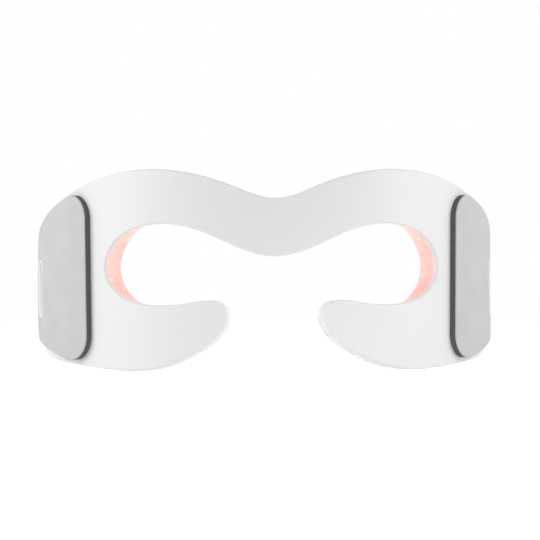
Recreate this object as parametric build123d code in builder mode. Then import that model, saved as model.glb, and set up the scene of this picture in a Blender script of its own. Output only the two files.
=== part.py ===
from build123d import *
import math
import os

# Light therapy eye mask: a white silicone shell, a flexible circuit with its lamps and a clear
# silicone face pad, all bent round one upright axis behind the nose. Millimetres and degrees.
# The mask stands upright with its front towards -Y, and the right half is the one towards +X.
# Each layer is made in two halves that meet over the nose, where the silicone bends in use.

# The curve of the face, and how far the mask reaches round it
face_radius = 88.0
wing_angle = 84.5

# Heights, from the lowest edge up
lobe_height = 24.2
opening_height = 29.8
brow_height = 20.2
nose_dip = 11.3
bridge_drop = 12.2
tip_hump = 1.7
wing_top_drop = 21.2
wing_bottom_rise = 5.7
upper_corner = 14.0
lower_corner = 9.0

# Where the outline turns, in degrees from the nose
crest_angle = 31.5
opening_angle = 29.0
opening_end_angle = 45.1
lowest_angle = 37.0
tip_angle = 11.4

# The layers, from outside in
shell_wall = 1.8
circuit_thickness = 0.3
pad_thickness = 7.4
circuit_inset = 3.2

# The loop fabric on foam that covers each wing, where the head band fastens
landing_angle = 50.4
landing_lean = 0.9
landing_margin = 2.2
landing_foot = 1.3
landing_rise = 10.5
landing_corner = 9.0
foam_thickness = 2.3
fabric_thickness = 0.45

# The slot near the end of each wing, for a head band 20 wide, and the shell's collar round it
slot_angle = 77.8
slot_middle = 31.0
slot_length = 21.0
slot_width = 6.0
collar_wall = 1.2
collar_gap = 0.2

# Lamps and resistors, as bought, and the rows that they stand in
lamp_length, lamp_width, lamp_thickness = 3.5, 2.8, 0.7
lamp_window, lamp_window_depth = 1.0, 0.12
lamp_pitch = 8.0
lamp_edge = 6.0
temple_angle = 57.0
resistor_length, resistor_width, resistor_thickness = 2.0, 1.25, 0.5
resistor_angle = 62.0
resistor_count = 8
solder_gap = 0.03
pocket_gap = 0.15
colours = ("red", "amber", "near_infrared", "deep_infrared")

# The power socket in the lower edge of the right wing, for a round plug of 3.5
socket_angle = 67.0
socket_width = 6.0
socket_depth = 5.4
socket_height = 14.0
socket_round = 1.2
socket_recess = 0.4
bore_radius = 1.8
bore_length = 12.0
board_thickness = 0.4
board_margin = 1.5
foot_length, foot_width, foot_thickness = 1.2, 0.8, 0.2
foot_pitch = 8.0
foot_gap = 0.02

# Worked out from the above
opening_top = lobe_height + opening_height
opening_reach = math.radians(opening_end_angle - opening_angle) * face_radius
top = opening_top + brow_height
circuit_radius = face_radius - shell_wall
lamp_radius = circuit_radius - circuit_thickness
inner_radius = circuit_radius - pad_thickness
foam_radius = face_radius + foam_thickness
fabric_radius = foam_radius + fabric_thickness
board_radius = lamp_radius - board_thickness
reach = 2 * face_radius

# The axis stands where it puts the origin under the middle of the mask
axis_y = (face_radius + inner_radius * math.cos(math.radians(wing_angle))) / 2


def spot(angle, height):
    """a point of the unrolled mask: length along the shell's outer face, and height"""
    return (math.radians(angle) * face_radius, height)


def facing_axis(point, radius):
    """the plane on a drum of this radius behind an unrolled point, its Z towards the axis"""
    turn = point.X / face_radius
    return Plane(
        origin=(radius * math.sin(turn), axis_y - radius * math.cos(turn), point.Y),
        x_dir=(math.cos(turn), math.sin(turn), 0),
        z_dir=(-math.sin(turn), math.cos(turn), 0),
    )


def seen_from_front(wire, radius):
    """an unrolled wire as it looks from the front once it is bent to this radius"""
    steps, longest = 6, 15.0
    edges = []
    for edge in wire.edges():
        spans = math.ceil(edge.length / longest)
        for span in range(spans):
            places = [(span + step / steps) / spans for step in range(steps + 1)]
            points, slopes = [], []
            for place in places:
                at, way = edge @ place, edge % place
                turn = at.X / face_radius
                points.append(Vector(radius * math.sin(turn), at.Y))
                slopes.append(Vector(way.X * math.cos(turn) * radius / face_radius, way.Y))
            if abs(points[0].X - points[-1].X) < 1e-6:
                edges.append(Edge.make_line(points[0], points[-1]))
            else:
                ends = [slopes[0].normalized(), slopes[-1].normalized()]
                edges.append(Edge.make_spline(points, tangents=ends))
    return Wire(edges)


def bent(flat, radius):
    """an unrolled outline bent round the axis: a face on the drum of this radius"""
    face = flat.face()
    outer = seen_from_front(face.outer_wire(), radius)
    holes = [seen_from_front(wire, radius) for wire in face.inner_wires()]
    seen = Plane.XZ.offset(reach) * Face(outer, holes)
    drum = Pos(0, axis_y, 0) * Cylinder(radius, 2 * reach, mode=Mode.PRIVATE)
    return seen.project_to_shape(drum, (0, 1, 0)).first


def slot(grow):
    """the strap slot's outline in the side view, grown all round"""
    slot_y = axis_y - face_radius * math.cos(math.radians(slot_angle))
    with BuildSketch(Plane.YZ) as outline:
        with Locations((slot_y, slot_middle)):
            SlotOverall(slot_length + 2 * grow, slot_width + 2 * grow, rotation=90)
    return outline.sketch


# The unrolled right half of the mask
opening_middle = spot(opening_angle, lobe_height + opening_height / 2)
with BuildSketch() as half_mask:
    with BuildLine():
        Spline(
            spot(0, top - nose_dip),
            spot(9, top - 0.66 * nose_dip),
            spot(18, top - 0.25 * nose_dip),
            spot(crest_angle, top),
            tangents=[(1, 0), (1, 0)],
        )
        Spline(
            spot(crest_angle, top),
            spot(45, top - 0.087 * wing_top_drop),
            spot(60, top - 0.34 * wing_top_drop),
            spot(72, top - 0.618 * wing_top_drop),
            spot(wing_angle, top - wing_top_drop),
            tangents=[(1, 0), (1, -0.43)],
        )
        Line(spot(wing_angle, top - wing_top_drop), spot(wing_angle, wing_bottom_rise))
        Spline(
            spot(wing_angle, wing_bottom_rise),
            spot(66, 0.53 * wing_bottom_rise),
            spot(50, 0.2 * wing_bottom_rise),
            spot(lowest_angle, 0),
            tangents=[(-1, -0.09), (-1, 0)],
        )
        Spline(
            spot(lowest_angle, 0),
            spot(27, 0.087 * lobe_height),
            spot(21, 0.235 * lobe_height),
            spot(16.5, 0.39 * lobe_height),
            spot(tip_angle + 1.2, 0.615 * lobe_height),
            spot(tip_angle, 0.84 * lobe_height),
            spot(tip_angle + 1.4, lobe_height),
            spot(tip_angle + 4.8, lobe_height + tip_hump),
            spot(22.5, lobe_height + 0.3 * tip_hump),
            spot(opening_angle, lobe_height),
            tangents=[(-1, 0), (1, 0)],
        )
        EllipticalCenterArc(opening_middle, opening_reach, opening_height / 2, -90, arc_size=180)
        Spline(
            spot(opening_angle, opening_top),
            spot(18, opening_top - 0.25 * bridge_drop),
            spot(9, opening_top - 0.74 * bridge_drop),
            spot(0, opening_top - bridge_drop),
            tangents=[(-1, 0), (-1, 0)],
        )
        Line(spot(0, opening_top - bridge_drop), spot(0, top - nose_dip))
    make_face()
    fillet(half_mask.vertices().group_by(Axis.X)[-1].sort_by(Axis.Y).last, upper_corner)
    fillet(half_mask.vertices().group_by(Axis.X)[-1].sort_by(Axis.Y).first, lower_corner)

# The circuit keeps clear of every edge, but runs on over the nose
with BuildSketch() as half_circuit:
    add(half_mask.sketch)
    mirror(half_mask.sketch, about=Plane.YZ)
    offset(amount=-circuit_inset, kind=Kind.INTERSECTION, mode=Mode.REPLACE)
    split(bisect_by=Plane.YZ, keep=Keep.TOP)

# The stiffener board behind the power socket, which stands just above the mask's lower edge
above_edge = Line(spot(socket_angle, 0), spot(socket_angle, lobe_height)) & half_mask.sketch
socket_edge = above_edge.vertices().sort_by(Axis.Y).first.Y
socket_bottom = socket_edge + socket_recess
with BuildSketch() as socket_board:
    with Locations(spot(socket_angle, socket_edge + circuit_inset)):
        Rectangle(
            socket_width + 2 * board_margin,
            socket_height + board_margin - circuit_inset + socket_recess,
            align=(Align.CENTER, Align.MIN),
        )

# The fabric follows the wing's upper edge, stops at a leaning line in front of the temple and
# leaves more and more of the lower edge bare towards the wing's end
with BuildSketch() as landing_field:
    with BuildLine():
        Polyline(
            spot(landing_angle - landing_lean / 2, landing_foot),
            spot(landing_angle + landing_lean / 2, top),
            Vector(*spot(wing_angle, top)) - Vector(landing_margin, 0),
            Vector(*spot(wing_angle, landing_foot + landing_rise)) - Vector(landing_margin, 0),
            close=True,
        )
    make_face()
    fillet(landing_field.vertices().group_by(Axis.X)[-1].sort_by(Axis.Y).first, landing_corner)
with BuildSketch() as landing:
    add(half_mask.sketch)
    offset(amount=-landing_margin, kind=Kind.INTERSECTION, mode=Mode.REPLACE)
    add(landing_field.sketch, mode=Mode.INTERSECT)
    fillet(landing.vertices().sort_by(Axis.X)[:2], landing_corner)

# The lamps stand in four rows: along the brow, round the eye, under the eye and down the temple
with BuildLine() as brow_row:
    Spline(
        spot(3.4, top - 0.95 * nose_dip - lamp_edge),
        spot(12, top - 0.51 * nose_dip - lamp_edge),
        spot(24, top - 0.08 * nose_dip - lamp_edge),
        spot(36, top - 0.016 * wing_top_drop - lamp_edge),
        spot(51, top - 0.174 * wing_top_drop - lamp_edge),
    )
with BuildLine() as eye_row:
    Spline(
        spot(3.4, opening_top - 0.94 * bridge_drop + lamp_edge),
        spot(12, opening_top - 0.57 * bridge_drop + lamp_edge),
        spot(21, opening_top - 0.13 * bridge_drop + lamp_edge),
        spot(opening_angle, opening_top + lamp_edge),
        tangents=[(1, 0.3), (1, 0)],
    )
    EllipticalCenterArc(
        opening_middle,
        opening_reach + lamp_edge,
        opening_height / 2 + lamp_edge,
        90,
        arc_size=-180,
    )
    Spline(
        spot(opening_angle, lobe_height - lamp_edge),
        spot(22.5, lobe_height - lamp_edge),
        spot(tip_angle + 5.5, lobe_height - 0.8 * lamp_edge),
        tangents=[(-1, 0), (-1, 0.1)],
    )
with BuildLine() as cheek_row:
    Spline(
        spot(22.5, 0.2 * lobe_height + lamp_edge),
        spot(28, 0.07 * lobe_height + lamp_edge),
        spot(lowest_angle, lamp_edge),
        spot(51, 0.19 * wing_bottom_rise + lamp_edge),
    )
with BuildLine() as temple_row:
    Line(
        spot(temple_angle, wing_bottom_rise + lamp_edge),
        spot(temple_angle, top - 0.4 * wing_top_drop - lamp_edge),
    )

# A lamp that would stand over the socket's board is left out
keep_off = (socket_width + lamp_length) / 2 + board_margin + pocket_gap
lamp_places = []
for row in (brow_row, eye_row, cheek_row, temple_row):
    wire = row.wire()
    count = round(wire.length / lamp_pitch)
    for index in range(count):
        along = (index + 0.5) / count * wire.length
        point = wire.position_at(along, position_mode=PositionMode.LENGTH)
        beside = abs(point.X - math.radians(socket_angle) * face_radius) > keep_off
        if beside or point.Y > socket_bottom + socket_height + keep_off:
            lamp_places.append(facing_axis(point, lamp_radius))

resistor_places = []
resistor_column = Line(
    spot(resistor_angle, wing_bottom_rise + 2 * lamp_edge),
    spot(resistor_angle, top - 0.4 * wing_top_drop - 2 * lamp_edge),
)
for index in range(resistor_count):
    resistor_places.append(facing_axis(resistor_column @ (index / (resistor_count - 1)), lamp_radius))

right = {}

# White shell: the outer silicone, with a raised collar that lines the strap slot
with BuildPart() as collar:
    extrude(slot(collar_wall), amount=reach)
    with Locations((0, axis_y, 0)):
        Cylinder(fabric_radius, 2 * reach, mode=Mode.INTERSECT)
        Cylinder(circuit_radius, 2 * reach, mode=Mode.SUBTRACT)
with BuildPart() as shell:
    thicken(bent(half_mask.sketch, face_radius), amount=-shell_wall, clean=False)
    add(collar.part)
    extrude(slot(0), amount=reach, mode=Mode.SUBTRACT)
right["outer_shell"] = shell

# Flexible circuit: a thin polyimide sheet bonded inside the shell
with BuildPart() as circuit:
    thicken(bent(half_circuit.sketch, circuit_radius), amount=-circuit_thickness, clean=False)
    extrude(slot(circuit_inset), amount=reach, mode=Mode.SUBTRACT)
right["flex_circuit"] = circuit

# Lamps: a moulded package with a round window, soldered to the circuit, in four kinds by turns
for kind, colour in enumerate(colours):
    places = lamp_places[kind :: len(colours)]
    with BuildPart() as lamps:
        with Locations(*[place.offset(solder_gap) for place in places]):
            Box(lamp_length, lamp_width, lamp_thickness, align=(Align.CENTER, Align.CENTER, Align.MIN))
        with Locations(*[place.offset(solder_gap + lamp_thickness) for place in places]):
            Cylinder(lamp_window, 2 * lamp_window_depth, mode=Mode.SUBTRACT)
    right[colour + "_lamps"] = lamps

# Resistors: one for each string of lamps
with BuildPart() as resistors:
    with Locations(*[place.offset(solder_gap) for place in resistor_places]):
        Box(
            resistor_length,
            resistor_width,
            resistor_thickness,
            align=(Align.CENTER, Align.CENTER, Align.MIN),
        )
right["resistors"] = resistors

# Power socket: a moulded block with a bore for a round plug, its mouth at the wing's lower edge
socket_plane = facing_axis(Vector(*spot(socket_angle, socket_bottom)), board_radius)
mouth_plane = Plane(
    origin=socket_plane.from_local_coords((0, 0, socket_depth / 2)),
    x_dir=socket_plane.x_dir,
    z_dir=(0, 0, 1),
)
with BuildPart() as socket:
    with BuildSketch(mouth_plane):
        with Locations((0, -board_thickness / 2)):
            Rectangle(socket_width, socket_depth + board_thickness)
    extrude(amount=socket_height)
    inward = Axis(socket_plane.origin, socket_plane.z_dir)
    fillet(socket.edges().filter_by(Axis.Z).sort_by(inward)[-2:], socket_round)
    with Locations(mouth_plane):
        Cylinder(bore_radius, 2 * bore_length, mode=Mode.SUBTRACT)
    with Locations((0, axis_y, 0)):
        Cylinder(board_radius, 2 * reach, mode=Mode.INTERSECT)

# Socket feet: four metal tabs that solder the socket to its board
foot_places = []
for side in (-1, 1):
    for level in (-1, 1):
        foot_places.append(
            facing_axis(
                Vector(
                    math.radians(socket_angle) * face_radius
                    + side * (socket_width + foot_length + 2 * foot_gap) / 2 * face_radius / board_radius,
                    socket_bottom + circuit_inset + (socket_height - circuit_inset) / 2 + level * foot_pitch / 2,
                ),
                board_radius - solder_gap,
            )
        )
with BuildPart() as feet:
    with Locations(*foot_places):
        Box(foot_length, foot_width, foot_thickness, align=(Align.CENTER, Align.CENTER, Align.MIN))

# Stiffener: a thin board that keeps the circuit flat behind the socket
with BuildPart() as stiffener:
    thicken(bent(socket_board.sketch, lamp_radius), amount=-board_thickness, clean=False)

# Face pad: clear silicone cast to the shell, with a recess for the circuit and each part on it
with BuildPart() as pad:
    thicken(bent(half_mask.sketch, circuit_radius), amount=-pad_thickness, clean=False)
    add(circuit.part, mode=Mode.SUBTRACT)
    with Locations(*lamp_places):
        Box(
            lamp_length + 2 * pocket_gap,
            lamp_width + 2 * pocket_gap,
            2 * (solder_gap + lamp_thickness + pocket_gap),
            mode=Mode.SUBTRACT,
        )
    with Locations(*resistor_places):
        Box(
            resistor_length + 2 * pocket_gap,
            resistor_width + 2 * pocket_gap,
            2 * (solder_gap + resistor_thickness + pocket_gap),
            mode=Mode.SUBTRACT,
        )
    extrude(slot(0), amount=reach, mode=Mode.SUBTRACT)
right["face_pad"] = pad

# Landing pad on the wing: dark foam glued to the shell, under a pale loop fabric
with BuildPart() as foam:
    thicken(bent(landing.sketch, foam_radius), amount=-foam_thickness, clean=False)
    extrude(slot(collar_wall + collar_gap), amount=reach, mode=Mode.SUBTRACT)
right["landing_foam"] = foam
with BuildPart() as fabric:
    thicken(bent(landing.sketch, fabric_radius), amount=-fabric_thickness, clean=False)
    extrude(slot(collar_wall + collar_gap), amount=reach, mode=Mode.SUBTRACT)
right["loop_fabric"] = fabric

# Every piece so far has its mirror image in the other half
pieces = {}
for name, half in right.items():
    with BuildPart() as other_half:
        mirror(half.part, about=Plane.YZ)
    pieces["left_" + name] = other_half
    pieces["right_" + name] = half

# The right half alone has the socket, with a pocket for it in its pad
with BuildPart() as right_pad:
    add(pad.part)
    with Locations(mouth_plane):
        Box(
            socket_width + 2 * pocket_gap,
            socket_depth + 2 * pocket_gap,
            2 * (socket_height + pocket_gap),
            mode=Mode.SUBTRACT,
        )
    with Locations(facing_axis(socket_board.face().center(), lamp_radius)):
        Box(
            socket_width + 2 * board_margin + 2 * pocket_gap,
            socket_height + board_margin - circuit_inset + socket_recess + 2 * pocket_gap,
            2 * (board_thickness + solder_gap + foot_thickness + pocket_gap),
            mode=Mode.SUBTRACT,
        )
pieces["right_face_pad"] = right_pad
pieces["power_socket"] = socket
pieces["socket_feet"] = feet
pieces["socket_stiffener"] = stiffener

os.makedirs("parts", exist_ok=True)
for name, piece in pieces.items():
    piece.part.label = name
    export_step(piece.part, "parts/" + name + ".step")
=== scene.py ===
import math

import bmesh
import bpy
import numpy as np
from mathutils import Matrix, Vector
from mathutils.geometry import delaunay_2d_cdt


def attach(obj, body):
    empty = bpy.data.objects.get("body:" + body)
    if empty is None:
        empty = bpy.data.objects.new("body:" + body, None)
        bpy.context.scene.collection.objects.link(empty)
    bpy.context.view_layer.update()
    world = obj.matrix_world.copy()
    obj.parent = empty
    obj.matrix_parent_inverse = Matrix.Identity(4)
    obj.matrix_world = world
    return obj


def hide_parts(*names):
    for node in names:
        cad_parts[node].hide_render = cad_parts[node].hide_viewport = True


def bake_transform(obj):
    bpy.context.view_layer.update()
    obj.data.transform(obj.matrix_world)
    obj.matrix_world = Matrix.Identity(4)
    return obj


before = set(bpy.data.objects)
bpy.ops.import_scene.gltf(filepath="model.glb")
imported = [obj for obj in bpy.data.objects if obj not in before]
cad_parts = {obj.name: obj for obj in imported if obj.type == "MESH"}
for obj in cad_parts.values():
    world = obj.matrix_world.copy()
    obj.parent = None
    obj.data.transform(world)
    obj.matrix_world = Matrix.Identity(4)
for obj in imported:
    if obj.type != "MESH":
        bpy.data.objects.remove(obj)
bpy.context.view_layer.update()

# OUTER SHELL
# One sheet of white liquid silicone, 1.8 mm thick, moulded flat and bent round the face.
# Its outer rim is softly rounded by the mould. Near the end of each wing a raised collar
# lines the slot for the head band and stands up through the landing pad.

mm = 0.001
face_radius = 88 * mm
axis_y = 47.776 * mm
shell_wall = 1.8 * mm
shell_rounding, shell_flat_from = 0.7 * mm, 1.1 * mm
wing_angle = 84.5
slot_middle = (29.18 * mm, 31 * mm)
slot_length, slot_width = 21 * mm, 6 * mm
collar_wall, collar_height, collar_foot = 1.2 * mm, 2.75 * mm, 0.5 * mm


def spot(angle, height):
    """a point of the unrolled mask: length along the shell's outer face, and height"""
    return (math.radians(angle) * face_radius, height * mm)


def smooth_line(points, start, end, step=0.5 * mm):
    """a smooth curve through the points, leaving and arriving in the given directions"""
    p = np.array(points)
    chord = np.linalg.norm(np.diff(p, axis=0), axis=1)
    matrix, known = np.eye(len(p)), np.zeros((len(p), 2))
    known[0], known[-1] = (np.array(way) / np.linalg.norm(way) for way in (start, end))
    for i in range(1, len(p) - 1):
        a, b = chord[i - 1], chord[i]
        matrix[i, i - 1 : i + 2] = b, 2 * (a + b), a
        known[i] = 3 * (b / a * (p[i] - p[i - 1]) + a / b * (p[i + 1] - p[i]))
    slope = np.linalg.solve(matrix, known)
    spans = []
    for i, length in enumerate(chord):
        t = np.linspace(0, 1, max(2, round(length / step)), endpoint=False)[:, None]
        spans.append(
            (2 * t**3 - 3 * t**2 + 1) * p[i]
            + (t**3 - 2 * t**2 + t) * length * slope[i]
            + (3 * t**2 - 2 * t**3) * p[i + 1]
            + (t**3 - t**2) * length * slope[i + 1]
        )
    return np.concatenate([*spans, p[-1:]])


def inwards(line, distance, closed=False):
    """the line moved to its right by a distance, which is into the mask on a clockwise outline"""
    if closed:
        way = np.roll(line, -1, axis=0) - np.roll(line, 1, axis=0)
    else:
        way = np.gradient(line, axis=0)
    way /= np.linalg.norm(way, axis=1)[:, None]
    return line + distance * np.stack([way[:, 1], -way[:, 0]], axis=1)


def rounded(before, after, radius, step=0.5 * mm):
    """two lines of a clockwise outline that meet at a corner, with an arc between them"""
    a, b = inwards(before, radius), inwards(after, radius)
    gaps = np.linalg.norm(a[:, None] - b[None], axis=2)
    i, j = np.unravel_index(gaps.argmin(), gaps.shape)
    centre = (a[i] + b[j]) / 2
    first, last = (math.atan2(*(p - centre)[::-1]) for p in (before[i], after[j]))
    if last > first:
        last -= 2 * math.pi
    turn = np.linspace(first, last, max(4, round((first - last) * radius / step)))[1:-1]
    arc = centre + radius * np.stack([np.cos(turn), np.sin(turn)], axis=1)
    return np.concatenate([before[: i + 1], arc, after[j:]])


brow_top, wing_top, wing_foot = spot(31.5, 74.2), spot(wing_angle, 53), spot(wing_angle, 5.7)
brow_edge = np.concatenate([
    smooth_line([spot(0, 62.9), spot(9, 66.74), spot(18, 71.38), brow_top], (1, 0), (1, 0))[:-1],
    smooth_line(
        [brow_top, spot(45, 72.36), spot(60, 66.99), spot(72, 61.1), wing_top], (1, 0), (1, -0.43)
    ),
])
wing_end = np.linspace(wing_top, wing_foot, 100)
cheek_edge = smooth_line(
    [wing_foot, spot(66, 3.02), spot(50, 1.14), spot(37, 0)], (-1, -0.09), (-1, 0)
)
lobe_edge = smooth_line(
    [
        spot(37, 0), spot(27, 2.11), spot(21, 5.69), spot(16.5, 9.44), spot(12.6, 14.88),
        spot(11.4, 20.33), spot(12.8, 24.2), spot(16.2, 25.9), spot(22.5, 24.71), spot(29, 24.2),
    ],
    (-1, 0), (1, 0),
)
opening_middle, opening_reach, opening_half = spot(29, 39.1), 24.73 * mm, 14.9 * mm
turn = np.linspace(-math.pi / 2, math.pi / 2, 120)[1:-1]
oval = np.stack([opening_reach * np.cos(turn), opening_half * np.sin(turn)], axis=1)
# the oval hangs a little: fuller below its middle than above
opening_hang = 0.6 * mm
oval[:, 0] -= opening_hang * np.sin(2 * turn)
opening_end = opening_middle + oval
bridge_edge = smooth_line(
    [spot(29, 54), spot(18, 50.95), spot(9, 44.97), spot(0, 41.8)], (-1, 0), (-1, 0)
)
upper_corner, lower_corner = 14 * mm, 9 * mm
upper_half = rounded(brow_edge, wing_end, upper_corner)
right_half = np.concatenate([
    rounded(upper_half, cheek_edge, lower_corner)[:-1], lobe_edge, opening_end, bridge_edge
])
mask_outline = np.concatenate([right_half, right_half[-2:0:-1] * (-1, 1)])


def slot_loop(grow, radius):
    """the strap slot's outline, grown all round, where it meets a drum: it runs straight along X"""
    reach = slot_width / 2 + grow
    turn = np.linspace(0, math.pi, 19)
    upper = np.stack([np.cos(turn), np.sin(turn)], axis=1) * reach + (0, (slot_length - slot_width) / 2)
    lower = -upper
    sides = np.linspace(upper[-1], lower[0], 9)[1:-1], np.linspace(lower[-1], upper[0], 9)[1:-1]
    y, z = (np.concatenate([upper, sides[0], lower, sides[1]]) + slot_middle).T
    return np.stack([face_radius * np.arccos((axis_y - y) / radius), z], axis=1)


def covered(points, loops):
    """which of the points lie inside the outline and outside its holes"""
    x, y = points.T
    inside = np.zeros(len(points), bool)
    for loop in loops:
        for (x0, y0), (x1, y1) in zip(loop, np.roll(loop, -1, axis=0)):
            if y0 != y1:
                inside ^= ((y0 > y) != (y1 > y)) & (x < (x1 - x0) * (y - y0) / (y1 - y0) + x0)
    return inside


def filled(loops, spacing):
    """even triangles between an outline and its holes: inner points, then triangles of all points"""
    rim = np.concatenate(loops)
    low, high = rim.min(axis=0), rim.max(axis=0)
    row_gap, rim_gap, at_once = 0.87 * spacing, 0.6 * spacing, 500
    rows = []
    for k, height in enumerate(np.arange(low[1], high[1], row_gap)):
        along = np.arange(low[0] + (k % 2) * spacing / 2, high[0], spacing)
        rows.append(np.stack([along, np.full_like(along, height)], axis=1))
    grid = np.concatenate(rows)
    grid = grid[covered(grid, loops)]
    near = np.concatenate([
        np.linalg.norm(part[:, None] - rim[None], axis=2).min(axis=1)
        for part in np.array_split(grid, max(1, len(grid) // at_once))
    ])
    grid = grid[near > rim_gap]
    points = np.concatenate([rim, grid])
    edges, start = [], 0
    for loop in loops:
        count = len(loop)
        edges += [(start + k, start + (k + 1) % count) for k in range(count)]
        start += count
    made = delaunay_2d_cdt([Vector(p) for p in points / mm], edges, [], 0, 1e-6)
    source = [original[0] for original in made[3]]
    faces = np.array([[source[v] for v in face] for face in made[2]])
    # along a straight rim the outside is filled with triangles of no width, which are dropped too
    least_area = 1e-4
    areas = np.abs(np.linalg.det(np.diff(points[faces] / mm, axis=1))) / 2
    return grid, faces[covered(points[faces].mean(axis=1), loops) & (areas > least_area)]


def bent_body(name, bands, spacing=2 * mm):
    """a closed body bent round the face. Each band is a list of rows, (unrolled points, radius),
    that run from the outer face's rim, over the body's edge, to the inner face's rim"""
    points, faces = [], []

    def put(row, radius):
        first = sum(map(len, points))
        points.append(np.column_stack([row, np.full(len(row), radius)]))
        return first

    rims = []
    for band in bands:
        firsts = [put(row, radius) for row, radius in band]
        count = len(band[0][0])
        rims.append((firsts[0], firsts[-1], count))
        for a, b in zip(firsts, firsts[1:]):
            for k in range(count):
                n = (k + 1) % count
                faces.append((a + k, a + n, b + n, b + k))
    for side in (0, -1):
        grid, triangles = filled([band[side][0] for band in bands], spacing)
        order = np.concatenate([
            *(np.arange(count) + rim[side] for *rim, count in rims),
            np.arange(len(grid)) + sum(map(len, points)),
        ])
        put(grid, bands[0][side][1])
        faces += [tuple(map(int, order[triangle])) for triangle in triangles]
    along, height, radius = np.concatenate(points).T
    turn = along / face_radius
    bent = np.column_stack([radius * np.sin(turn), axis_y - radius * np.cos(turn), height])
    mesh = bpy.data.meshes.new(name)
    mesh.from_pydata(bent.tolist(), [], faces)
    uv = mesh.uv_layers.new(name="unrolled")
    corner = np.zeros(len(mesh.loops), int)
    mesh.loops.foreach_get("vertex_index", corner)
    uv.data.foreach_set("uv", np.column_stack([along, height])[corner].astype(np.float32).ravel())
    work = bmesh.new()
    work.from_mesh(mesh)
    bmesh.ops.recalc_face_normals(work, faces=work.faces)
    work.to_mesh(mesh)
    work.free()
    mesh.shade_smooth()
    mesh.set_sharp_from_angle(angle=math.radians(40))
    piece = bpy.data.objects.new(name, mesh)
    bpy.context.collection.objects.link(piece)
    return piece


def mirrored(band):
    """the same band of rows on the left wing"""
    return [(row[::-1] * (-1, 1), radius) for row, radius in band]


outer_rim = [(inwards(mask_outline, shell_flat_from, closed=True), face_radius)]
for a in np.radians([0, 15, 30, 45, 60, 75, 90]):
    inset, drop = shell_rounding * (1 - math.sin(a)), shell_rounding * (1 - math.cos(a))
    outer_rim.append((inwards(mask_outline, inset, closed=True), face_radius - drop))
outer_rim.append((mask_outline, face_radius - shell_wall))

collar = [(slot_loop(collar_wall + grow, face_radius), face_radius) for grow in (collar_foot, 0)]
rounding = collar_wall / 2
for a in np.radians([0, 22.5, 45, 67.5, 90, 112.5, 135, 157.5, 180]):
    radius = face_radius + collar_height - rounding * (1 - math.sin(a))
    collar.append((slot_loop(rounding * (1 + math.cos(a)), radius), radius))
collar.append((slot_loop(0, face_radius - shell_wall), face_radius - shell_wall))

outer_shell = bent_body("outer_shell", [outer_rim, collar, mirrored(collar)])


def hex_colour(text):
    """an sRGB colour written as #RRGGBB, as linear red, green, blue and alpha"""
    channels = [int(text[i : i + 2], 16) / 255 for i in (1, 3, 5)]
    return (*[c / 12.92 if c <= 0.04045 else ((c + 0.055) / 1.055) ** 2.4 for c in channels], 1.0)


def add_node(tree, kind, settings=None, **inputs):
    """a node with its settings, and its inputs by name, each a value or another node's output"""
    node = tree.nodes.new(kind)
    for key, value in (settings or {}).items():
        setattr(node, key, value)
    for key, value in inputs.items():
        place = node.inputs[int(key[1:]) if key[0] == "_" else key.replace("_", " ")]
        if isinstance(value, bpy.types.NodeSocket):
            tree.links.new(value, place)
        else:
            place.default_value = value
    return node


def new_material(name):
    """an empty material, its node tree and its output"""
    material = bpy.data.materials.new(name)
    material.use_nodes = True
    material.node_tree.nodes.clear()
    return material, material.node_tree, add_node(material.node_tree, "ShaderNodeOutputMaterial")


def unrolled_spots(points):
    """the points laid flat, both wings on the right one"""
    around = np.abs(np.arctan2(points[:, 0], axis_y - points[:, 1]))
    return np.stack([around * face_radius, points[:, 2]], axis=1)


def at_opening(points, spread):
    """how near each point is to the wall at the outer end of an eye opening, from 0 to 1"""
    flat = unrolled_spots(points)
    from_wall = np.linalg.norm(flat[:, None] - opening_end[None], axis=2).min(axis=1)
    begins, full = spot(27, 0)[0], spot(36, 0)[0]
    return np.exp(-((from_wall / spread) ** 2)) * np.clip((flat[:, 0] - begins) / (full - begins), 0, 1)


# painted glow: the lamps' pink light painted on the shell's cut rim by the outer end of each eye opening
where = np.array([v.co for v in outer_shell.data.vertices])
depth = face_radius - np.hypot(where[:, 0], axis_y - where[:, 1])
painted_glow_spread, painted_glow_depth = 2.5 * mm, 1.2 * mm
painted_rim_glow = (at_opening(where, painted_glow_spread) * np.clip(depth / painted_glow_depth, 0, 1)).astype(np.float32)
outer_shell.data.attributes.new("painted_rim_glow", "FLOAT", "POINT").data.foreach_set("value", painted_rim_glow)

# White liquid silicone from a bead-blasted mould: a soft satin face, with a faint grain of
# 0.3 mm and slow waves of gloss where the mould was wiped. A faint pink glow of the lamps'
# light is painted on it as emission at the rim of the openings.
white_silicone, tree, output = new_material("white satin silicone")
place = add_node(tree, "ShaderNodeTexCoord").outputs["Object"]
# painted glow: emission of strength 0.1 at most, read from the painted rim glow attribute
painted_rim_glow = add_node(tree, "ShaderNodeAttribute", {"attribute_name": "painted_rim_glow"}).outputs["Fac"]
painted_rim_glow_strength = add_node(tree, "ShaderNodeMath", {"operation": "MULTIPLY"}, _0=painted_rim_glow, _1=0.1)
grain = add_node(tree, "ShaderNodeTexNoise", Vector=place, Scale=3200.0, Detail=2.0)
wipe = add_node(tree, "ShaderNodeTexNoise", Vector=place, Scale=45.0, Detail=3.0)
gloss = add_node(tree, "ShaderNodeMapRange", Value=wipe.outputs["Fac"], To_Min=0.36, To_Max=0.48)
bump = add_node(tree, "ShaderNodeBump", Strength=0.12, Distance=0.00003, Height=grain.outputs["Fac"])
skin = add_node(
    tree, "ShaderNodeBsdfPrincipled", Base_Color=hex_colour("#EDEDED"), IOR=1.41,
    Roughness=gloss.outputs["Result"], Normal=bump.outputs["Normal"],
    Emission_Color=hex_colour("#FFD2CB"), Emission_Strength=painted_rim_glow_strength.outputs[0],
)
tree.links.new(skin.outputs["BSDF"], output.inputs["Surface"])
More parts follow.
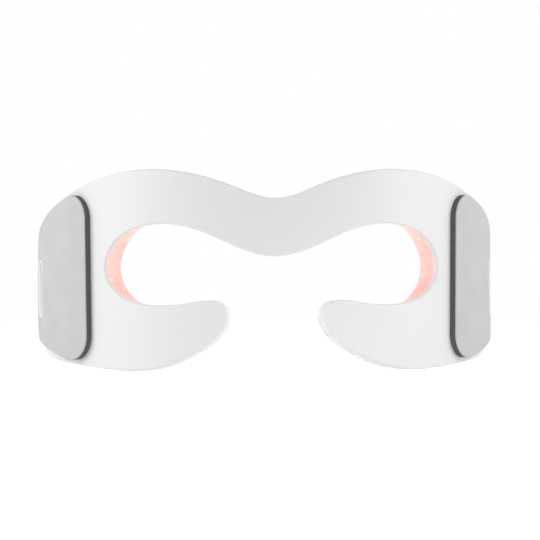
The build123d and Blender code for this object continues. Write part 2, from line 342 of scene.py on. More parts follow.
outer_shell.data.materials.append(white_silicone)
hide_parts("left_outer_shell", "right_outer_shell")
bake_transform(outer_shell)

# FLEXIBLE CIRCUIT
# A polyimide film, 0.3 mm thick with its cover coat, bonded inside the shell. It is printed
# white so that it throws the light of the lamps back, and the copper tracks under the coat
# raise faint ribs along the face.

# The cover coat is satin, and a little yellower over the copper tracks, which are 2 mm apart
film_white, tree, output = new_material("white coated polyimide film")
place = add_node(tree, "ShaderNodeTexCoord").outputs["Object"]
part = add_node(tree, "ShaderNodeSeparateXYZ", Vector=place)
depth = add_node(tree, "ShaderNodeMath", {"operation": "SUBTRACT"}, _0=axis_y, _1=part.outputs["Y"])
turn = add_node(tree, "ShaderNodeMath", {"operation": "ARCTAN2"},
                _0=part.outputs["X"], _1=depth.outputs[0])
along = add_node(tree, "ShaderNodeMath", {"operation": "MULTIPLY"}, _0=turn.outputs[0], _1=face_radius)
flat = add_node(tree, "ShaderNodeCombineXYZ", X=along.outputs[0], Y=part.outputs["Z"])
# a brick pattern laid on the unrolled film, whose courses are the tracks
tracks = add_node(
    tree, "ShaderNodeTexBrick", {"offset": 0.5}, Vector=flat.outputs["Vector"], Scale=1.0,
    Color1=hex_colour("#E2DED5"), Color2=hex_colour("#DDD8CD"), Mortar=hex_colour("#EEECE6"),
    Mortar_Size=0.00035, Brick_Width=0.026, Row_Height=0.002,
)
rib = add_node(tree, "ShaderNodeBump", {"invert": True}, Strength=0.6, Distance=0.00006,
               Height=tracks.outputs["Fac"])
film = add_node(
    tree, "ShaderNodeBsdfPrincipled", Base_Color=tracks.outputs["Color"], Roughness=0.42,
    Normal=rib.outputs["Normal"],
)
tree.links.new(film.outputs["BSDF"], output.inputs["Surface"])
for half in ("left", "right"):
    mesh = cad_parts[half + "_flex_circuit"].data
    mesh.materials.clear()
    mesh.materials.append(film_white)

# LAMPS
# Surface-mount lamps of 3.5 x 2.8 mm: a white moulded cup filled with resin over the chip,
# with tinned ends. They stand 8 mm apart in four rows, of four colours by turns, and are
# soldered to the circuit, facing the skin.

film_thickness, solder = 0.3 * mm, 0.03 * mm
film_inside = face_radius - shell_wall - film_thickness
lamp_pitch, lamp_edge = 8 * mm, 6 * mm
brow_row = smooth_line(
    [spot(3.4, 57.47), spot(12, 62.44), spot(24, 67.3), spot(36, 67.86), spot(51, 64.51)],
    (1, 0.57), (1, -0.17),
)
eye_above = smooth_line(
    [spot(3.4, 48.53), spot(12, 53.05), spot(21, 58.41), spot(29, 60)], (1, 0.3), (1, 0)
)
swing = np.linspace(math.pi / 2, -math.pi / 2, 120)[1:-1]
eye_bend = opening_middle + np.stack(
    [(opening_reach + lamp_edge) * np.cos(swing), (opening_half + lamp_edge) * np.sin(swing)], axis=1
)
eye_below = smooth_line([spot(29, 18.2), spot(22.5, 18.2), spot(16.9, 19.4)], (-1, 0), (-1, 0.1))
cheek_row = smooth_line(
    [spot(22.5, 10.84), spot(28, 7.69), spot(37, 6), spot(51, 7.08)], (1, -0.45), (1, 0.06)
)
temple_angle = 57
temple_row = np.linspace(spot(temple_angle, 11.7), spot(temple_angle, 59.72), 60)


def evenly(row, pitch):
    """points along a row, one in the middle of each pitch"""
    run = np.append(0, np.cumsum(np.linalg.norm(np.diff(row, axis=0), axis=1)))
    count = round(run[-1] / pitch)
    at = (np.arange(count) + 0.5) / count * run[-1]
    return np.stack([np.interp(at, run, row[:, 0]), np.interp(at, run, row[:, 1])], axis=1)


lamp_spots = np.concatenate([
    evenly(row, lamp_pitch)
    for row in (brow_row, np.concatenate([eye_above, eye_bend, eye_below]), cheek_row, temple_row)
])


def soldered_parts():
    """the tree that sets a package on each unrolled point, bent with the circuit to face the axis"""
    tree = bpy.data.node_groups.new("parts on the bent circuit", "GeometryNodeTree")
    for name, kind in (
        ("Places", "NodeSocketGeometry"), ("Package", "NodeSocketObject"),
        ("Face radius", "NodeSocketFloat"), ("Film radius", "NodeSocketFloat"),
        ("Axis behind", "NodeSocketFloat"), ("Body", "NodeSocketMaterial"),
        ("Face", "NodeSocketMaterial"), ("Ends", "NodeSocketMaterial"),
    ):
        tree.interface.new_socket(name, in_out="INPUT", socket_type=kind)
    tree.interface.new_socket("Parts", in_out="OUTPUT", socket_type="NodeSocketGeometry")
    given = add_node(tree, "NodeGroupInput").outputs
    position = add_node(tree, "GeometryNodeInputPosition").outputs[0]
    point = add_node(tree, "ShaderNodeSeparateXYZ", Vector=position)
    turn = add_node(
        tree, "ShaderNodeMath", {"operation": "DIVIDE"}, _0=point.outputs["X"], _1=given["Face radius"])
    sine = add_node(tree, "ShaderNodeMath", {"operation": "SINE"}, _0=turn.outputs[0])
    cosine = add_node(tree, "ShaderNodeMath", {"operation": "COSINE"}, _0=turn.outputs[0])
    forward = add_node(tree, "ShaderNodeMath", {"operation": "MULTIPLY"}, _0=cosine.outputs[0], _1=-1.0)
    out = add_node(tree, "ShaderNodeCombineXYZ", X=sine.outputs[0], Y=forward.outputs[0])
    ring = add_node(tree, "ShaderNodeVectorMath", {"operation": "SCALE"}, Vector=out.outputs[0],
                    Scale=given["Film radius"])
    stand = add_node(tree, "ShaderNodeCombineXYZ", Y=given["Axis behind"], Z=point.outputs["Y"])
    bent = add_node(tree, "ShaderNodeVectorMath", _0=ring.outputs[0], _1=stand.outputs[0])
    moved = add_node(
        tree, "GeometryNodeSetPosition", Geometry=given["Places"], Position=bent.outputs[0])
    # where a package stands is known again from its bent point: its Z looks back at the axis
    here = add_node(tree, "ShaderNodeSeparateXYZ", Vector=position)
    back = add_node(
        tree, "ShaderNodeMath", {"operation": "SUBTRACT"}, _0=given["Axis behind"], _1=here.outputs["Y"])
    aside = add_node(tree, "ShaderNodeMath", {"operation": "MULTIPLY"}, _0=here.outputs["X"], _1=-1.0)
    inward = add_node(tree, "ShaderNodeCombineXYZ", X=aside.outputs[0], Y=back.outputs[0])
    across = add_node(tree, "ShaderNodeCombineXYZ", X=back.outputs[0], Y=here.outputs["X"])
    facing = add_node(
        tree, "FunctionNodeAxesToRotation", {"primary_axis": "Z", "secondary_axis": "X"},
        Primary_Axis=inward.outputs[0], Secondary_Axis=across.outputs[0])
    package = add_node(
        tree, "GeometryNodeObjectInfo", {"transform_space": "ORIGINAL"}, Object=given["Package"])
    copies = add_node(
        tree, "GeometryNodeInstanceOnPoints", Points=moved.outputs[0],
        Instance=package.outputs["Geometry"], Rotation=facing.outputs[0])
    solid = add_node(tree, "GeometryNodeRealizeInstances", Geometry=copies.outputs[0])
    zone = add_node(tree, "GeometryNodeInputNamedAttribute", {"data_type": "INT"}, Name="zone")
    for number, name in enumerate(("Body", "Face", "Ends")):
        chosen = add_node(tree, "FunctionNodeCompare", {"data_type": "INT", "operation": "EQUAL"},
                          _2=zone.outputs["Attribute"], _3=number)
        solid = add_node(tree, "GeometryNodeSetMaterial", Geometry=solid.outputs[0],
                         Selection=chosen.outputs[0], Material=given[name])
    tree.links.new(solid.outputs[0], add_node(tree, "NodeGroupOutput").inputs["Parts"])
    return tree


on_circuit = soldered_parts()


def boxed(work, size, low, zone, rounding):
    """adds a box to a package: size along, across and deep, its low face's height, and its zone"""
    place = Matrix.Translation((0, 0, low + size[2] / 2)) @ Matrix.Diagonal((*size, 1))
    made = bmesh.ops.create_cube(work, size=1, matrix=place)
    edges = {edge for vertex in made["verts"] for edge in vertex.link_edges}
    faces = {face for vertex in made["verts"] for face in vertex.link_faces}
    if rounding:
        bevelled = bmesh.ops.bevel(work, geom=list(edges), offset=rounding, segments=2, affect="EDGES")
        faces |= set(bevelled["faces"])
    for face in faces:
        if face.is_valid:
            face[work.faces.layers.int["zone"]] = zone


def package_object(name, build):
    """a package to be copied, from a function that fills a bmesh with a zone on each face"""
    work = bmesh.new()
    work.faces.layers.int.new("zone")
    build(work)
    bmesh.ops.recalc_face_normals(work, faces=work.faces)
    mesh = bpy.data.meshes.new(name)
    work.to_mesh(mesh)
    work.free()
    mesh.set_sharp_from_angle(angle=math.radians(35))
    return bpy.data.objects.new(name, mesh)


def lamp_package(work):
    """a cup with a round well, filled with a slightly domed resin, and a tinned end each side"""
    zone = work.faces.layers.int["zone"]
    base, end_at = 0.06 * mm, 1.52 * mm
    boxed(work, (3.2 * mm, 2.8 * mm, base), 0, 2, 0)
    for end in (-1, 1):
        before = set(work.verts)
        boxed(work, (0.45 * mm, 2.2 * mm, 0.3 * mm), 0.002 * mm, 2, 0.05 * mm)
        added = [v for v in work.verts if v not in before]
        bmesh.ops.translate(work, verts=added, vec=(end * end_at, 0, 0))
    cup_reach, cup_across, high, chamfer = 1.68 * mm, 1.33 * mm, 0.7 * mm, 0.08 * mm
    steps, well, deep = 20, 1.0 * mm, 0.12 * mm
    circle = [(math.cos(a), math.sin(a)) for a in np.linspace(0, 2 * math.pi, steps, endpoint=False)]
    rim = []
    for x, y in circle:
        reach = 1 / max(abs(x) / cup_reach, abs(y) / cup_across)
        rim.append((reach * x, reach * y))
    # the cup's wall and face, then the resin, which stands a little higher in its middle
    rings = [
        [work.verts.new((share * x, share * y, z)) for x, y in points]
        for points, share, z in (
            (rim, 1, base), (rim, 1, high - chamfer), (rim, 0.97, high), (circle, well, high),
            (circle, 0.86 * well, high - deep), (circle, 0.6 * well, high - 0.8 * deep),
            (circle, 0.3 * well, high - 0.68 * deep),
        )
    ]
    resin_from = 4
    for number, (a, b) in enumerate(zip(rings, rings[1:])):
        for k in range(steps):
            n = (k + 1) % steps
            work.faces.new((a[k], a[n], b[n], b[k]))[zone] = 1 if number >= resin_from else 0
    work.faces.new(rings[-1])[zone] = 1
    work.faces.new(rings[0][::-1])[zone] = 0


def resistor_package(work):
    """a ceramic chip with a black glazed top and wrapped tinned ends"""
    end_at = 0.82 * mm
    boxed(work, (1.3 * mm, 1.22 * mm, 0.42 * mm), 0.02 * mm, 0, 0.03 * mm)
    boxed(work, (1.1 * mm, 1.1 * mm, 0.06 * mm), 0.43 * mm, 1, 0.02 * mm)
    for end in (-1, 1):
        before = set(work.verts)
        boxed(work, (0.36 * mm, 1.25 * mm, 0.48 * mm), 0, 2, 0.05 * mm)
        added = [v for v in work.verts if v not in before]
        bmesh.ops.translate(work, verts=added, vec=(end * end_at, 0, 0))


# White moulded thermoplastic with an even grain of 0.4 mm, slightly yellowed by the light
cup_white, tree, output = new_material("white moulded lamp cup")
place = add_node(tree, "ShaderNodeTexCoord").outputs["Object"]
speck = add_node(tree, "ShaderNodeTexNoise", Vector=place, Scale=2500.0)
shade = add_node(tree, "ShaderNodeMix", {"data_type": "RGBA"}, _0=speck.outputs["Fac"],
                 _6=hex_colour("#EFEBE2"), _7=hex_colour("#F6F4EF"))
cup = add_node(tree, "ShaderNodeBsdfPrincipled", Base_Color=shade.outputs[2], Roughness=0.45)
tree.links.new(cup.outputs["BSDF"], output.inputs["Surface"])

# Tin-plated copper, dulled in spots of 0.5 mm by the solder oven
tin, tree, output = new_material("tinned end")
place = add_node(tree, "ShaderNodeTexCoord").outputs["Object"]
speck = add_node(tree, "ShaderNodeTexNoise", Vector=place, Scale=1800.0)
gloss = add_node(tree, "ShaderNodeMapRange", Value=speck.outputs["Fac"], To_Min=0.25, To_Max=0.5)
metal = add_node(tree, "ShaderNodeBsdfPrincipled", Base_Color=hex_colour("#C9C7C2"), Metallic=1.0,
                 Roughness=gloss.outputs["Result"])
tree.links.new(metal.outputs["BSDF"], output.inputs["Surface"])

# Clear or tinted epoxy, poured over each chip: glossy, and unevenly filled with the chip's light
resins = {}
for colour, tint, light, strength in (
    ("red", "#F2907F", "#FF4A33", 2.2), ("amber", "#F7C27A", "#FFA04A", 2.0),
    ("near_infrared", "#D9B7AE", "#FF6A5A", 0.5), ("deep_infrared", "#8A6C69", "#7A2A26", 0.15),
):
    resin, tree, output = new_material(colour.replace("_", " ") + " epoxy")
    place = add_node(tree, "ShaderNodeTexCoord").outputs["Object"]
    streak = add_node(tree, "ShaderNodeTexNoise", Vector=place, Scale=900.0)
    lit = add_node(tree, "ShaderNodeMapRange", Value=streak.outputs["Fac"],
                   To_Min=0.8 * strength, To_Max=1.2 * strength)
    dome = add_node(
        tree, "ShaderNodeBsdfPrincipled", Base_Color=hex_colour(tint), Roughness=0.08, IOR=1.54,
        Emission_Color=hex_colour(light), Emission_Strength=lit.outputs["Result"],
    )
    tree.links.new(dome.outputs["BSDF"], output.inputs["Surface"])
    resins[colour] = resin


def soldered(name, spots, package, body, face, ends, half):
    """one piece of like parts on one half of the circuit, in place of its CAD node"""
    host = bpy.data.meshes.new(name)
    host.from_pydata([(x if half == "right" else -x, z, 0) for x, z in spots], [], [])
    piece = bpy.data.objects.new(name + "_packages", host)
    bpy.context.collection.objects.link(piece)
    modifier = piece.modifiers.new("parts", "NODES")
    modifier.node_group = on_circuit
    values = {"Package": package, "Face radius": face_radius, "Film radius": film_inside - solder,
              "Axis behind": axis_y, "Body": body, "Face": face, "Ends": ends}
    for socket in on_circuit.interface.items_tree:
        if socket.in_out == "INPUT" and socket.name in values:
            modifier[socket.identifier] = values[socket.name]
    made = piece.evaluated_get(bpy.context.evaluated_depsgraph_get())
    piece.data = bpy.data.meshes.new_from_object(made)
    piece.modifiers.clear()
    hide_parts(name)
    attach(piece, half + "_half")


lamp_object = package_object("lamp package", lamp_package)
for half in ("left", "right"):
    for number, (colour, resin) in enumerate(resins.items()):
        spots = lamp_spots[number::len(resins)]
        soldered(f"{half}_{colour}_lamps", spots, lamp_object, cup_white, resin, tin,
                 half)

# RESISTORS
# One thin chip for each string of lamps, 2 x 1.25 mm: a ceramic body with a black glazed top
# and tinned ends, soldered to the circuit in a column behind the temple row.

# Pressed and fired alumina: matt and off-white, with a grain of 0.3 mm
ceramic, tree, output = new_material("alumina ceramic")
place = add_node(tree, "ShaderNodeTexCoord").outputs["Object"]
speck = add_node(tree, "ShaderNodeTexNoise", Vector=place, Scale=3000.0)
shade = add_node(tree, "ShaderNodeMix", {"data_type": "RGBA"}, _0=speck.outputs["Fac"],
                 _6=hex_colour("#DAD7CE"), _7=hex_colour("#ECEAE4"))
chip = add_node(tree, "ShaderNodeBsdfPrincipled", Base_Color=shade.outputs[2], Roughness=0.6)
tree.links.new(chip.outputs["BSDF"], output.inputs["Surface"])

# Fired glass over the resistive layer: black and shiny, uneven where it flowed
glaze, tree, output = new_material("black glaze")
place = add_node(tree, "ShaderNodeTexCoord").outputs["Object"]
speck = add_node(tree, "ShaderNodeTexNoise", Vector=place, Scale=2200.0)
gloss = add_node(tree, "ShaderNodeMapRange", Value=speck.outputs["Fac"], To_Min=0.18, To_Max=0.35)
coat = add_node(tree, "ShaderNodeBsdfPrincipled", Base_Color=hex_colour("#1B1B1D"),
                Roughness=gloss.outputs["Result"])
tree.links.new(coat.outputs["BSDF"], output.inputs["Surface"])

resistor_angle, resistor_count = 62, 8
resistor_spots = np.linspace(spot(resistor_angle, 17.7), spot(resistor_angle, 53.72), resistor_count)
resistor_object = package_object("resistor package", resistor_package)
for half in ("left", "right"):
    soldered(half + "_resistors", resistor_spots, resistor_object, ceramic, glaze, tin,
             half)
for package in (lamp_object, resistor_object):
    bpy.data.objects.remove(package)

# FACE PAD
# Clear silicone, 7.4 mm thick, cast over the lamps onto the back of the shell and flush with
# its rim. Its inner edge is well rounded where it meets the skin, and its wall is flared above
# and below the outer end of each eye opening, where a pink glow of the lamps is painted on it.

pad_thickness = 7.4 * mm
pad_rounding, pad_flat_from = 1.6 * mm, 2.2 * mm
# it is bonded a hair's breadth into the shell's inner face, with its rims tucked in
pad_bond, pad_tuck, slot_tuck = 0.05 * mm, 0.02 * mm, 0.01 * mm
first_row, slot_row = 0.2 * mm, 0.3 * mm
pad_outside = face_radius - shell_wall + pad_bond
pad_inside = face_radius - shell_wall - pad_thickness
# the wall leans outwards most at the two shoulders of each opening's outer end
flare, flare_length = 1.4 * mm, 8 * mm
shoulders = np.radians([-62, 62])
flare_middles = opening_middle + np.stack(
    [opening_reach * np.cos(shoulders), opening_half * np.sin(shoulders)], axis=1
)
to_flare = np.linalg.norm(np.abs(mask_outline)[:, None] - flare_middles[None], axis=2).min(axis=1)
flared = flare * np.exp(-((to_flare / flare_length) ** 2))[:, None]


def pad_row(inset, radius):
    """the pad's outline at one depth, inset from the shell's and flared towards the skin"""
    depth = (pad_outside - radius) / pad_thickness
    return inwards(mask_outline, inset + flared * depth, closed=True), radius


pad_rim = [pad_row(pad_tuck, pad_outside)]
for radius in np.linspace(face_radius - shell_wall - first_row, pad_inside + pad_rounding, 6):
    pad_rim.append(pad_row(0, radius))
for a in np.radians([15, 30, 45, 60, 75, 90]):
    inset, rise = pad_rounding * (1 - math.cos(a)), pad_rounding * (1 - math.sin(a))
    pad_rim.append(pad_row(inset, pad_inside + rise))
pad_rim.append(pad_row(pad_flat_from, pad_inside))
slot_rounding, slot_flat_from = 0.8 * mm, 1.4 * mm
pad_slot = [(slot_loop(slot_tuck, pad_outside), pad_outside)]
for radius in np.linspace(pad_outside - slot_row, pad_inside + slot_rounding, 4):
    pad_slot.append((slot_loop(0, radius), radius))
for a in np.radians([22.5, 45, 67.5, 90]):
    radius = pad_inside + slot_rounding * (1 - math.sin(a))
    pad_slot.append((slot_loop(slot_rounding * (1 - math.cos(a)), radius), radius))
pad_slot.append((slot_loop(slot_flat_from, pad_inside), pad_inside))
face_pad = bent_body("face_pad", [pad_rim, pad_slot, mirrored(pad_slot)], spacing=1.5 * mm)

# painted lamp light: a halo painted round each lamp by each point's distance from it, and a pink
# glow painted by how near each point is to the wall at the outer end of an eye opening
halo_spread, end_spread = 3.4 * mm, 3.5 * mm
where = np.array([v.co for v in face_pad.data.vertices])
away = np.linalg.norm(unrolled_spots(where)[:, None] - lamp_spots[None], axis=2)
near_lamps = np.exp(-((away / halo_spread) ** 2)).sum(axis=1)
for name, values in (("painted_lamp_halo", near_lamps), ("painted_end_glow", at_opening(where, end_spread))):
    layer = face_pad.data.attributes.new(name, "FLOAT", "POINT")
    layer.data.foreach_set("value", values.astype(np.float32))

# Platinum-cured clear silicone: glossy but never sharp. The lamps' light is painted on it: a faint
# glow all over, halos round the lamps, and a pink glow with painted glints at the outer ends of the
# eye openings, varied in clouds of 6 mm and pinker lower down
clear_silicone, tree, output = new_material("clear cast silicone")
place = add_node(tree, "ShaderNodeTexCoord").outputs["Object"]
cloud = add_node(tree, "ShaderNodeTexNoise", Vector=place, Scale=160.0, Detail=2.0)
cloud = add_node(tree, "ShaderNodeMapRange", Value=cloud.outputs["Fac"], From_Min=0.35, From_Max=0.65)
height = add_node(tree, "ShaderNodeSeparateXYZ", Vector=place).outputs["Z"]
# painted glow: the pink at the lit ends is deeper below 26 mm of height, fading out by 36 mm
low = add_node(tree, "ShaderNodeMapRange", Value=height, From_Min=0.026, From_Max=0.036,
               To_Min=1.0, To_Max=0.0)
# painted glints: a small pale spot in each cell of about 6 mm, shown only where the pink glow is painted
painted_glint_cells = add_node(tree, "ShaderNodeTexVoronoi", {"feature": "F1"}, Vector=place, Scale=155.0)
painted_glint = add_node(tree, "ShaderNodeMapRange", Value=painted_glint_cells.outputs["Distance"],
                 From_Min=0.07, From_Max=0.16, To_Min=1.0, To_Max=0.0)
painted_end_light = add_node(tree, "ShaderNodeAttribute", {"attribute_name": "painted_end_glow"}).outputs["Fac"]
painted_lamp_halo = add_node(tree, "ShaderNodeAttribute", {"attribute_name": "painted_lamp_halo"}).outputs["Fac"]
# painted pink glow of the lamps, in the base colour: near white away from the opening ends
painted_pink = add_node(tree, "ShaderNodeMix", {"data_type": "RGBA"}, _0=cloud.outputs["Result"],
                _6=hex_colour("#FFC0BC"), _7=hex_colour("#FFD9D1"))
painted_pink_lower = add_node(tree, "ShaderNodeMix", {"data_type": "RGBA"}, _0=low.outputs["Result"],
                  _6=painted_pink.outputs[2], _7=hex_colour("#FFB6B2"))
base_with_painted_pink = add_node(tree, "ShaderNodeMix", {"data_type": "RGBA"}, _0=painted_end_light,
                _6=hex_colour("#F6F6F6"), _7=painted_pink_lower.outputs[2])
painted_glints = add_node(tree, "ShaderNodeMath", {"operation": "MULTIPLY"},
                  _0=painted_glint.outputs["Result"], _1=painted_end_light)
base_with_painted_glints = add_node(tree, "ShaderNodeMix", {"data_type": "RGBA"}, _0=painted_glints.outputs[0],
                    _6=base_with_painted_pink.outputs[2], _7=hex_colour("#FFF6E6"))
# painted glow: a faint glow all over the pad, brighter in the painted halos round the lamps and at the
# opening ends
halo = add_node(tree, "ShaderNodeMath", {"operation": "MULTIPLY_ADD"}, _0=painted_lamp_halo, _1=0.08, _2=0.05)
glow = add_node(tree, "ShaderNodeMath", {"operation": "MULTIPLY_ADD"},
                _0=painted_end_light, _1=0.26, _2=halo.outputs[0])
# the painted glow's colour: near white over the pad, pink at the opening ends, pale yellow at the glints
glow_end = add_node(tree, "ShaderNodeMix", {"data_type": "RGBA"}, _0=low.outputs["Result"],
                    _6=hex_colour("#FFB4AE"), _7=hex_colour("#FFA8A4"))
glow_mass = add_node(tree, "ShaderNodeMix", {"data_type": "RGBA"}, _0=painted_end_light,
                     _6=hex_colour("#FFF4F0"), _7=glow_end.outputs[2])
glow_colour = add_node(tree, "ShaderNodeMix", {"data_type": "RGBA"}, _0=painted_glints.outputs[0],
                       _6=glow_mass.outputs[2], _7=hex_colour("#FFF2D8"))
wave = add_node(tree, "ShaderNodeTexNoise", Vector=place, Scale=60.0, Detail=2.0)
bump = add_node(tree, "ShaderNodeBump", Strength=0.15, Distance=0.0002, Height=wave.outputs["Fac"])
pad = add_node(
    tree, "ShaderNodeBsdfPrincipled", Base_Color=base_with_painted_glints.outputs[2], Roughness=0.35, IOR=1.41,
    Transmission_Weight=0.5, Emission_Color=glow_colour.outputs[2], Emission_Strength=glow.outputs[0],
    Normal=bump.outputs["Normal"],
)
# the lights of the room reach through it to the circuit
to_lights = add_node(tree, "ShaderNodeLightPath").outputs["Is Shadow Ray"]
clear = add_node(tree, "ShaderNodeBsdfTransparent", Color=hex_colour("#F3F2F1"))
body = add_node(tree, "ShaderNodeMixShader", _0=to_lights, _1=pad.outputs["BSDF"], _2=clear.outputs[0])
tree.links.new(body.outputs[0], output.inputs["Surface"])
face_pad.data.materials.append(clear_silicone)
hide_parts("left_face_pad", "right_face_pad")
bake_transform(face_pad)

# LANDING PADS
# On each wing a pad of dark grey foam, 2.3 mm thick, is glued to the shell and faced with
# pale grey brushed loop fabric, on which the head band's hooks take hold. The foam's cut
# edge shows as a dark band, and the slot's white collar comes up through both.

foam_thickness, fabric_thickness = 2.3 * mm, 0.45 * mm
foam_lift, foam_rounding, fabric_rounding, flat_ring = 0.01 * mm, 0.1 * mm, 0.35 * mm, 0.4 * mm
landing_margin, landing_corner, collar_gap = 2.2 * mm, 9 * mm, 0.2 * mm
upper_line = inwards(upper_half, landing_margin)
lower_line = inwards(cheek_edge, landing_margin)
front_line = np.linspace(spot(49.95, 1.3), spot(50.85, 74.2), 150)
front_middle = len(front_line) // 2
foot = np.linspace(front_line[0], spot(wing_angle, 11.8) - np.array((landing_margin, 0)), 120)[::-1]
foot[:, 1] = np.maximum(foot[:, 1], np.interp(foot[:, 0], lower_line[::-1, 0], lower_line[::-1, 1]))
rear = rounded(upper_line, foot, landing_corner)
rear_middle = len(rear) // 2
landing = np.concatenate([
    rounded(front_line[front_middle:], rear[:rear_middle], landing_corner),
    rounded(rear[rear_middle:], front_line[:front_middle], landing_corner),
])


def landing_layer(name, low, high, rounding):
    """one layer of a landing pad between two heights above the shell, its outer rim rounded"""
    inside, outside, round_collar = face_radius + low, face_radius + high, collar_wall + collar_gap
    rim = [(inwards(landing, rounding + flat_ring, closed=True), outside)]
    hole = [(slot_loop(round_collar + rounding + flat_ring, outside), outside)]
    for a in np.radians([0, 30, 60, 90]):
        inset, radius = rounding * (1 - math.sin(a)), outside - rounding * (1 - math.cos(a))
        rim.append((inwards(landing, inset, closed=True), radius))
        hole.append((slot_loop(round_collar + inset, radius), radius))
    rim.append((landing, inside))
    hole.append((slot_loop(round_collar, inside), inside))
    bands = [rim, hole] if name.startswith("right") else [mirrored(rim), mirrored(hole)]
    return bent_body(name, bands)


# Closed-cell foam, cut with a blade: matt, with cells of about 0.4 mm open on the cut
dark_foam, tree, output = new_material("dark closed-cell foam")
place = add_node(tree, "ShaderNodeTexCoord").outputs["Object"]
cells = add_node(tree, "ShaderNodeTexVoronoi", Vector=place, Scale=2500.0)
shade = add_node(tree, "ShaderNodeMix", {"data_type": "RGBA"}, _0=cells.outputs["Distance"],
                 _6=hex_colour("#4E4D50"), _7=hex_colour("#6E6D70"))
bump = add_node(tree, "ShaderNodeBump", Strength=0.5, Distance=0.0001, Height=cells.outputs["Distance"])
foam = add_node(tree, "ShaderNodeBsdfPrincipled", Base_Color=shade.outputs[2], Roughness=0.92,
                Normal=bump.outputs["Normal"])
tree.links.new(foam.outputs["BSDF"], output.inputs["Surface"])

# Brushed nylon loop: courses of knit 0.9 mm apart, blurred by the raised loops, with the
# nylon's soft sheen. The real loops are finer; these are as coarse as they must be to show.
pale_loop, tree, output = new_material("pale brushed nylon loop")
unrolled = add_node(tree, "ShaderNodeUVMap", {"uv_map": "unrolled"}).outputs["UV"]
fuzz = add_node(tree, "ShaderNodeTexNoise", Vector=unrolled, Scale=1500.0, Detail=4.0)
knit = add_node(tree, "ShaderNodeTexWave", {"bands_direction": "X"}, Vector=unrolled,
                Scale=350.0, Distortion=3.0, Detail=2.0, Detail_Scale=2.0)
nap = add_node(tree, "ShaderNodeTexNoise", Vector=unrolled, Scale=90.0, Detail=3.0)
height = add_node(tree, "ShaderNodeMath", {"operation": "MULTIPLY_ADD"}, _0=knit.outputs["Fac"], _1=0.35,
                  _2=fuzz.outputs["Fac"])
shade = add_node(tree, "ShaderNodeMix", {"data_type": "RGBA"}, _0=nap.outputs["Fac"],
                 _6=hex_colour("#C5C2C3"), _7=hex_colour("#D1CFCF"))
bump = add_node(tree, "ShaderNodeBump", Strength=0.4, Distance=0.00008, Height=height.outputs[0])
loop = add_node(tree, "ShaderNodeBsdfPrincipled", Base_Color=shade.outputs[2], Roughness=0.85,
                Sheen_Weight=0.25, Sheen_Roughness=0.4, Normal=bump.outputs["Normal"])
tree.links.new(loop.outputs["BSDF"], output.inputs["Surface"])

for half in ("left", "right"):
    foam_pad = landing_layer(half + "_foam_pad", foam_lift, foam_thickness, foam_rounding)
    loop_face = landing_layer(
        half + "_loop_face", foam_thickness, foam_thickness + fabric_thickness, fabric_rounding
    )
    for piece, node, finish, slot in (
        (foam_pad, "_landing_foam", dark_foam, "dark_foam"),
        (loop_face, "_loop_fabric", pale_loop, "loop_fabric"),
    ):
        piece.data.materials.append(finish)
        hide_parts(half + node)
        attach(piece, half + "_half")

# POWER SOCKET
# A moulded nylon block with a bore for a 3.5 mm plug, in the lower edge of the right wing.
# Four tinned feet solder it to a bare glass-epoxy board that keeps the circuit flat.

# Nearly black nylon, with the matt grain of 0.4 mm that its mould leaves
black_nylon, tree, output = new_material("black moulded nylon")
place = add_node(tree, "ShaderNodeTexCoord").outputs["Object"]
grain = add_node(tree, "ShaderNodeTexNoise", Vector=place, Scale=2600.0)
gloss = add_node(tree, "ShaderNodeMapRange", Value=grain.outputs["Fac"], To_Min=0.42, To_Max=0.62)
bump = add_node(tree, "ShaderNodeBump", Strength=0.25, Distance=0.00004, Height=grain.outputs["Fac"])
nylon = add_node(tree, "ShaderNodeBsdfPrincipled", Base_Color=hex_colour("#232325"),
                 Roughness=gloss.outputs["Result"], Normal=bump.outputs["Normal"])
tree.links.new(nylon.outputs["BSDF"], output.inputs["Surface"])

# Uncoated glass-epoxy board, with the weave of its glass cloth, 0.6 mm a thread, just showing
glass_epoxy, tree, output = new_material("bare glass-epoxy board")
place = add_node(tree, "ShaderNodeTexCoord").outputs["Object"]
weave = add_node(tree, "ShaderNodeTexChecker", Vector=place, Color1=hex_colour("#C9C58E"),
                 Color2=hex_colour("#B9B47C"), Scale=1600.0)
board = add_node(tree, "ShaderNodeBsdfPrincipled", Base_Color=weave.outputs["Color"], Roughness=0.38)
tree.links.new(board.outputs["BSDF"], output.inputs["Surface"])

for node, finish in (
    ("power_socket", black_nylon), ("socket_feet", tin), ("socket_stiffener", glass_epoxy)
):
    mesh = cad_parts[node].data
    mesh.materials.clear()
    mesh.materials.append(finish)

# STAGE
# A white floor in an evenly lit white room, with soft boxes to the left and right and two small
# lit cards low in front. The camera stands square before the mask, a little to its left and low,
# as for a catalogue picture.

floor_half = 4
corners = [(x * floor_half, y * floor_half, 0) for x, y in ((-1, -1), (1, -1), (1, 1), (-1, 1))]
floor_mesh = bpy.data.meshes.new("floor")
floor_mesh.from_pydata(corners, [], [(0, 1, 2, 3)])
floor = bpy.data.objects.new("floor", floor_mesh)
bpy.context.collection.objects.link(floor)


def background_rays(tree):
    """1 on the rays that show the white background: straight, mirrored or let through"""
    path = add_node(tree, "ShaderNodeLightPath").outputs
    shown = path["Is Camera Ray"]
    for other in ("Is Glossy Ray", "Is Transmission Ray"):
        both = add_node(tree, "ShaderNodeMath", {"operation": "MAXIMUM"}, _0=shown, _1=path[other])
        shown = both.outputs[0]
    return shown


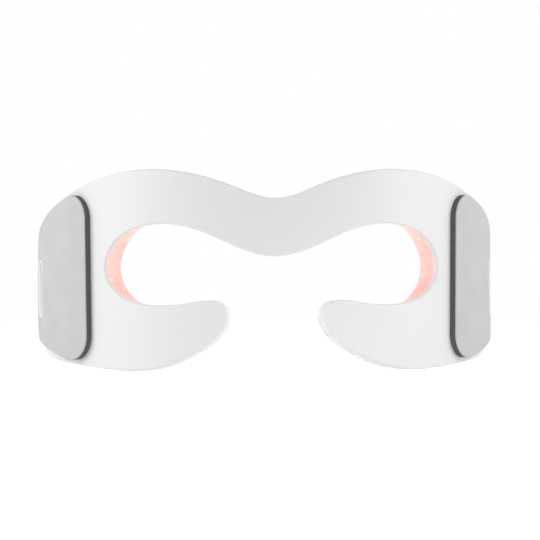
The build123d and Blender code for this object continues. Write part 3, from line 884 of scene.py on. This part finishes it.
# Matt white paint, lifted to white where it is only seen, so that it keeps the mask's shadow
white_floor, tree, output = new_material("white studio floor")
paint = add_node(tree, "ShaderNodeBsdfDiffuse", Color=hex_colour("#E7E7E7"))
level = add_node(tree, "ShaderNodeMapRange", Value=background_rays(tree), To_Min=0.2, To_Max=0.68)
lift = add_node(tree, "ShaderNodeEmission", Color=hex_colour("#FFFFFF"),
                Strength=level.outputs["Result"])
both = add_node(tree, "ShaderNodeAddShader", _0=paint.outputs[0], _1=lift.outputs[0])
tree.links.new(both.outputs[0], output.inputs["Surface"])
floor_mesh.materials.append(white_floor)

world = bpy.data.worlds.new("studio")
bpy.context.scene.world = world
world.use_nodes = True
tree = world.node_tree
level = add_node(tree, "ShaderNodeMapRange", Value=background_rays(tree), To_Min=0.4, To_Max=1.0)
tree.links.new(level.outputs["Result"], tree.nodes["Background"].inputs["Strength"])
tree.nodes["Background"].inputs["Color"].default_value = hex_colour("#FFFFFF")

mask_middle = Vector((0, 0, 0.04))


def soft_box(name, place, size, power):
    """a rectangular light that looks at the mask's middle"""
    lamp = bpy.data.lights.new(name, "AREA")
    lamp.shape, lamp.size, lamp.size_y, lamp.energy = "RECTANGLE", *size, power
    box = bpy.data.objects.new(name, lamp)
    box.location = place
    box.rotation_euler = (mask_middle - Vector(place)).to_track_quat("-Z", "Y").to_euler()
    bpy.context.collection.objects.link(box)


soft_box("left soft box", (-0.8, -0.19, 0.35), (0.6, 0.8), 4.2)
soft_box("right soft box", (0.78, -0.27, 0.35), (0.6, 0.8), 3.85)
soft_box("low card", (0, -0.11, 0.003), (0.16, 0.04), 0.006)
soft_box("right card", (0.02, -0.088, 0.006), (0.04, 0.012), 0.0024)

distance, picture_side = 0.760, 540
yaw, rise, roll = (math.radians(a) for a in (-3.063, -1.0, -0.262))
aim = Vector((0, axis_y - face_radius, 36.58 * mm))
back = Vector((math.sin(yaw) * math.cos(rise), -math.cos(yaw) * math.cos(rise), math.sin(rise)))
across = (-back).cross((0, 0, 1)).normalized()
upright = across.cross(-back)
across, upright = (
    math.cos(roll) * across + math.sin(roll) * upright,
    math.cos(roll) * upright - math.sin(roll) * across,
)
lens = bpy.data.cameras.new("camera")
lens.sensor_width, lens.lens = 36, 140.2
lens.shift_x, lens.shift_y = -5.77 / picture_side, 0.5 / picture_side
lens.clip_start, lens.clip_end = 0.05, 20
camera = bpy.data.objects.new("camera", lens)
turned = Matrix((across, upright, back)).transposed().to_4x4()
camera.matrix_world = Matrix.Translation(aim + back * distance) @ turned
bpy.context.collection.objects.link(camera)
bpy.context.scene.camera = camera
bpy.context.scene.view_settings.view_transform = "Standard"
